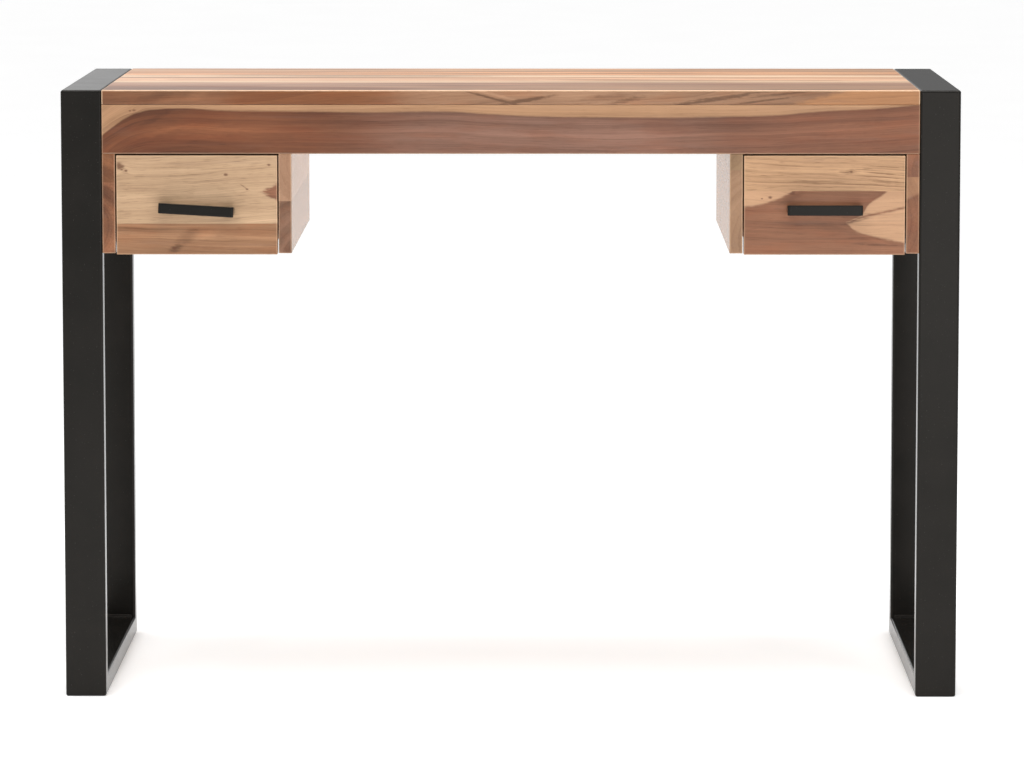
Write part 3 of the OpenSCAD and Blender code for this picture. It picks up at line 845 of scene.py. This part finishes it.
def frame_loop(low, high, section):
    """A closed loop of tube, with its outer corners ground round."""
    bm = bmesh.new()
    rings = []
    for y, z, y_way, z_way, first in ((low.y, low.z, 1, 1, 180), (high.y, low.z, -1, 1, 270),
                                      (high.y, high.z, -1, -1, 0), (low.y, high.z, 1, -1, 90)):
        for i in range(CORNER_STEPS + 1):
            angle = math.radians(first + 90 * i / CORNER_STEPS)
            ring = []
            for x, inset in section:
                radius = max(CORNER_RADIUS - inset, 0.0)
                reach = max(CORNER_RADIUS, inset)
                ring.append(bm.verts.new((x, y + y_way * reach + radius * math.cos(angle),
                                          z + z_way * reach + radius * math.sin(angle))))
            rings.append(ring)
    for first, second in zip(rings, rings[1:] + rings[:1]):
        for j in range(len(section)):
            k = (j + 1) % len(section)
            bm.faces.new((first[j], first[k], second[k], second[j]))
    bmesh.ops.remove_doubles(bm, verts=bm.verts, dist=TOUCHING)
    bmesh.ops.dissolve_degenerate(bm, edges=bm.edges, dist=TOUCHING)
    bmesh.ops.recalc_face_normals(bm, faces=bm.faces)
    return bm


def bore(bm, places, radius, depth, x):
    """Cuts blind round holes into a mesh from an outer face at x."""
    cutter = bmesh.new()
    for y, z in places:
        middle = Matrix.Translation((x, y, z)) @ Matrix.Rotation(math.pi / 2, 4, "Y")
        bmesh.ops.create_cone(cutter, cap_ends=True, segments=40, radius1=radius, radius2=radius,
                              depth=2 * depth, matrix=middle)
    meshes = []
    for name, source in (("bored", bm), ("borer", cutter)):
        mesh = bpy.data.meshes.new(name)
        source.to_mesh(mesh)
        source.free()
        meshes.append(mesh)
    bored, borer = (bpy.data.objects.new(mesh.name, mesh) for mesh in meshes)
    for each in (bored, borer):
        bpy.context.scene.collection.objects.link(each)
    cut = bored.modifiers.new("bore", "BOOLEAN")
    cut.operation = "DIFFERENCE"
    cut.solver = "EXACT"
    cut.object = borer
    bpy.context.view_layer.update()
    graph = bpy.context.evaluated_depsgraph_get()
    result = bpy.data.meshes.new_from_object(bored.evaluated_get(graph))
    out = bmesh.new()
    out.from_mesh(result)
    for each in (bored, borer):
        bpy.data.objects.remove(each)
    for mesh in (*meshes, result):
        bpy.data.meshes.remove(mesh)
    return out


def make_frames(material):
    """Each side's four mitred tubes, as one welded and coated loop with its capped holes."""
    for side in SIDES:
        nodes = [f"{side}_{part}" for part in ("front_leg", "rear_leg", "top_bar", "bottom_bar")]
        boxes = [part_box(node) for node in nodes]
        low = Vector([min(box[0][i] for box in boxes) for i in range(3)])
        high = Vector([max(box[1][i] for box in boxes) for i in range(3)])
        depth = boxes[0][1].y - boxes[0][0].y
        bm = frame_loop(low, high, tube_section(low.x, high.x, depth))
        cap_low, cap_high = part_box(f"{side}_hole_caps")
        places = [(y, z) for y in (cap_low.y + CAP_RADIUS, cap_high.y - CAP_RADIUS)
                  for z in (cap_low.z + CAP_RADIUS, cap_high.z - CAP_RADIUS)]
        outer = low.x if side == "left" else high.x
        bm = bore(bm, places, CAP_RADIUS + CAP_GAP, cap_high.x - cap_low.x, outer)
        piece(f"{side}_frame_loop", bm, material, "desk", "black_steel", *nodes)


def make_weld_beads(material):
    """A rippled fillet weld inside each of a frame's four corners."""
    for side in SIDES:
        low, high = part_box(f"{side}_front_leg")
        _, rear_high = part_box(f"{side}_rear_leg")
        tube = high.y - low.y
        length = TUBE_WIDTH - 2 * BEAD_INSET
        bm = bmesh.new()
        for y, y_way in ((high.y, 1), (rear_high.y - tube, -1)):
            for z, z_way in ((tube, 1), (CAD_BOX[1].z - tube, -1)):
                rows = []
                for i in range(BEAD_STEPS + 1):
                    way = BEAD_INSET + length * i / BEAD_STEPS
                    ripple = math.sin(2 * math.pi * way / RIPPLE_PITCH)
                    wobble = noise.noise(Vector((way * 90, y * 10, z * 10)))
                    size = BEAD * (1 + 0.07 * ripple + 0.12 * wobble)
                    end = min(i, BEAD_STEPS - i) / BEAD_TAPER
                    size *= math.sqrt(min(1.0, end * (2 - end))) if end < 1 else 1.0
                    size = max(size, BEAD_LEAST)
                    row = []
                    for j in range(BEAD_SIDES + 1):
                        angle = math.radians(90) * j / BEAD_SIDES
                        bulge = size * (0.62 + 0.38 * abs(math.cos(2 * angle)))
                        row.append(bm.verts.new((low.x + way, y + y_way * bulge * math.cos(angle),
                                                 z + z_way * bulge * math.sin(angle))))
                    row.append(bm.verts.new((low.x + way, y - y_way * BEAD_SINK, z - z_way * BEAD_SINK)))
                    rows.append(row)
                count = len(rows[0])
                for first, second in zip(rows, rows[1:]):
                    for j in range(count):
                        k = (j + 1) % count
                        bm.faces.new((first[j], first[k], second[k], second[j]))
                bm.faces.new(rows[0])
                bm.faces.new(rows[-1])
        piece(f"{side}_weld_beads", bm, material, "desk", "black_steel")


def paint(material, *names):
    """Gives CAD nodes a material in place of any that they have."""
    for name in names:
        mesh = NODES[name].data
        mesh.materials.clear()
        mesh.materials.append(material)


# Beech's colour, and a point near the runners and dowels that their grain is measured from
BEECH = (208, 166, 122)
BEECH_ORIGIN = Vector((-0.5, -0.2, 0.55))


def finish_cad_nodes():
    """Gives runners, dowels, fixings, caps and the insides of the drawers their materials."""
    zinc = plated("zinc_plate", (196, 198, 202), (160, 163, 168), 0.8, 0.25)
    brass = plated("turned_brass", (196, 158, 92), (160, 122, 66), 0.5, 0.28)
    plastic = moulded_plastic()
    beech_look = dict(sap=50, streaks=0.25, fibre=0.5, sapwood=BEECH)
    beech = wood("beech_runner", BEECH_ORIGIN, "yzx", seed=31.0, **beech_look)
    dowel_wood = wood("beech_dowel", BEECH_ORIGIN, "zxy", seed=32.0, **beech_look)
    level_dowel_wood = wood("beech_level_dowel", BEECH_ORIGIN, "yxz", seed=33.0, **beech_look)
    paint(dowel_wood, "top_dowels")
    paint(level_dowel_wood, "apron_dowels", "back_dowels")
    for side in SIDES:
        for part in ("frame_bolts", "frame_washers", "runner_screws", "pull_screws"):
            paint(zinc, f"{side}_{part}")
        paint(brass, f"{side}_threaded_inserts")
        paint(plastic, f"{side}_hole_caps")
        paint(beech, f"{side}_outer_runner", f"{side}_inner_runner")
        for i, part in enumerate(("drawer_outer_side", "drawer_inner_side", "drawer_back")):
            name = f"{side}_{part}"
            low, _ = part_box(name)
            axes = "xzy" if part == "drawer_back" else "yzx"
            paint(wood(f"wood_{name}", low, axes, seed=40.0 + i + low.x, sap=50, pith=(30 + 20 * i, 50),
                       streaks=0.35, fibre=0.7), name)
        low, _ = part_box(f"{side}_drawer_bottom")
        paint(plywood(low), f"{side}_drawer_bottom")


# ---- Stage, light and camera -------------------------------------------------------

FLOOR_RADIUS = 60.0
FLOOR_GLOW = 0.34
# The studio's brightness at the horizon, how much it gains overhead, how much less of that it
# gains in front of the desk, and what a wall to the left and behind adds
SKY_LOW = 0.14
SKY_RISE = 0.95
FRONT_DIM = 0.8
LEFT_WALL = 0.52
# Brightness of the white that the camera sees behind the desk
BACKDROP = 1.05
CAMERA_PLACE = (0.039, -6.706, 1.118)
CAMERA_PITCH = math.radians(-6.43)
CAMERA_YAW = math.radians(0.33)
# Focal length and sensor width, in millimetres
CAMERA_LENS = 186.3
CAMERA_SENSOR = 36.0


def make_floor():
    """A wide, pale, faintly glowing disc, so that it looks white all over."""
    bm = bmesh.new()
    bmesh.ops.create_circle(bm, cap_ends=True, radius=FLOOR_RADIUS, segments=96)
    mesh = bpy.data.meshes.new("floor")
    bm.to_mesh(mesh)
    bm.free()
    material, tree, shader, place = new_material("pale_floor")
    drift = cloud(place["x"] / 400, place["y"] / 400, place["z"] / 400, detail=2.0)
    feed(tree, shader.inputs["Base Color"],
         ramp(drift, [(0.3, linear(243, 243, 243)), (0.7, linear(246, 246, 246))]))
    shader.inputs["Roughness"].default_value = 0.9
    shader.inputs["Specular IOR Level"].default_value = 0.1
    shader.inputs["Emission Color"].default_value = (1.0, 1.0, 1.0, 1.0)
    shader.inputs["Emission Strength"].default_value = FLOOR_GLOW
    mesh.materials.append(material)
    floor = bpy.data.objects.new("floor", mesh)
    bpy.context.scene.collection.objects.link(floor)


def make_world():
    """A soft white studio, dim along the walls and bright overhead, seen as plain white."""
    world = bpy.data.worlds.new("studio")
    bpy.context.scene.world = world
    world.use_nodes = True
    tree = world.node_tree
    sky = tree.nodes["Background"]
    place = tree.nodes.new("ShaderNodeTexCoord")
    split = tree.nodes.new("ShaderNodeSeparateXYZ")
    tree.links.new(place.outputs["Generated"], split.inputs[0])
    right, behind, up = (Field(tree, split.outputs[i]) for i in range(3))
    height = up.most(0.0)
    wall = (right * -1).step(-0.06, 0.12) * behind.step(0.0, 0.5)
    ahead = (behind * -1).step(0.0, 0.6)
    feed(tree, sky.inputs["Strength"], height * (SKY_RISE - ahead * FRONT_DIM) + SKY_LOW + wall * LEFT_WALL)
    sky.inputs["Color"].default_value = (1.0, 1.0, 1.0, 1.0)
    seen = tree.nodes.new("ShaderNodeBackground")
    seen.inputs["Color"].default_value = (1.0, 1.0, 1.0, 1.0)
    seen.inputs["Strength"].default_value = BACKDROP
    path = tree.nodes.new("ShaderNodeLightPath")
    choose = tree.nodes.new("ShaderNodeMixShader")
    tree.links.new(path.outputs["Is Camera Ray"], choose.inputs[0])
    tree.links.new(sky.outputs[0], choose.inputs[1])
    tree.links.new(seen.outputs[0], choose.inputs[2])
    tree.links.new(choose.outputs[0], tree.nodes["World Output"].inputs["Surface"])


def softbox(name, place, target, width, height, power):
    """A rectangular lamp that points at a target and isn't seen itself."""
    light = bpy.data.lights.new(name, "AREA")
    light.shape = "RECTANGLE"
    light.size = width
    light.size_y = height
    light.energy = power
    holder = bpy.data.objects.new(name, light)
    holder.location = place
    holder.rotation_mode = "QUATERNION"
    holder.rotation_quaternion = (Vector(target) - Vector(place)).to_track_quat("-Z", "Y")
    holder.visible_camera = False
    bpy.context.scene.collection.objects.link(holder)


def make_lights():
    """A large lamp overhead, one to each side of the camera and a faint low one on the right."""
    softbox("overhead", (0.0, -0.6, 4.0), (0.0, 0.0, 0.4), 3.0, 2.4, 105)
    softbox("high_left", (-1.7, -3.9, 2.9), (0.0, -0.2, 0.6), 1.0, 0.8, 29)
    softbox("high_right", (1.9, -3.9, 2.9), (0.0, -0.2, 0.6), 1.0, 0.8, 29)
    softbox("front_right", (1.2, -4.0, 0.45), (0.5, 0.0, 0.5), 1.5, 0.9, 6)


def make_camera():
    """A long lens, a little above the top and almost straight ahead."""
    data = bpy.data.cameras.new("camera")
    data.lens = CAMERA_LENS
    data.sensor_width = CAMERA_SENSOR
    data.clip_start = 0.1
    data.clip_end = 200.0
    camera = bpy.data.objects.new("camera", data)
    camera.location = CAMERA_PLACE
    camera.rotation_euler = (math.pi / 2 + CAMERA_PITCH, 0.0, CAMERA_YAW)
    bpy.context.scene.collection.objects.link(camera)
    bpy.context.scene.camera = camera


# ---- Build -------------------------------------------------------------------------

noise.seed_set(UNEVEN_SEED)
black = powder_coat()
make_top()
make_aprons()
make_casings()
make_drawer_fronts()
make_pulls(black)
make_frames(black)
make_weld_beads(black)
finish_cad_nodes()
make_floor()
make_world()
make_lights()
make_camera()
bpy.context.scene.view_settings.view_transform = "Standard"
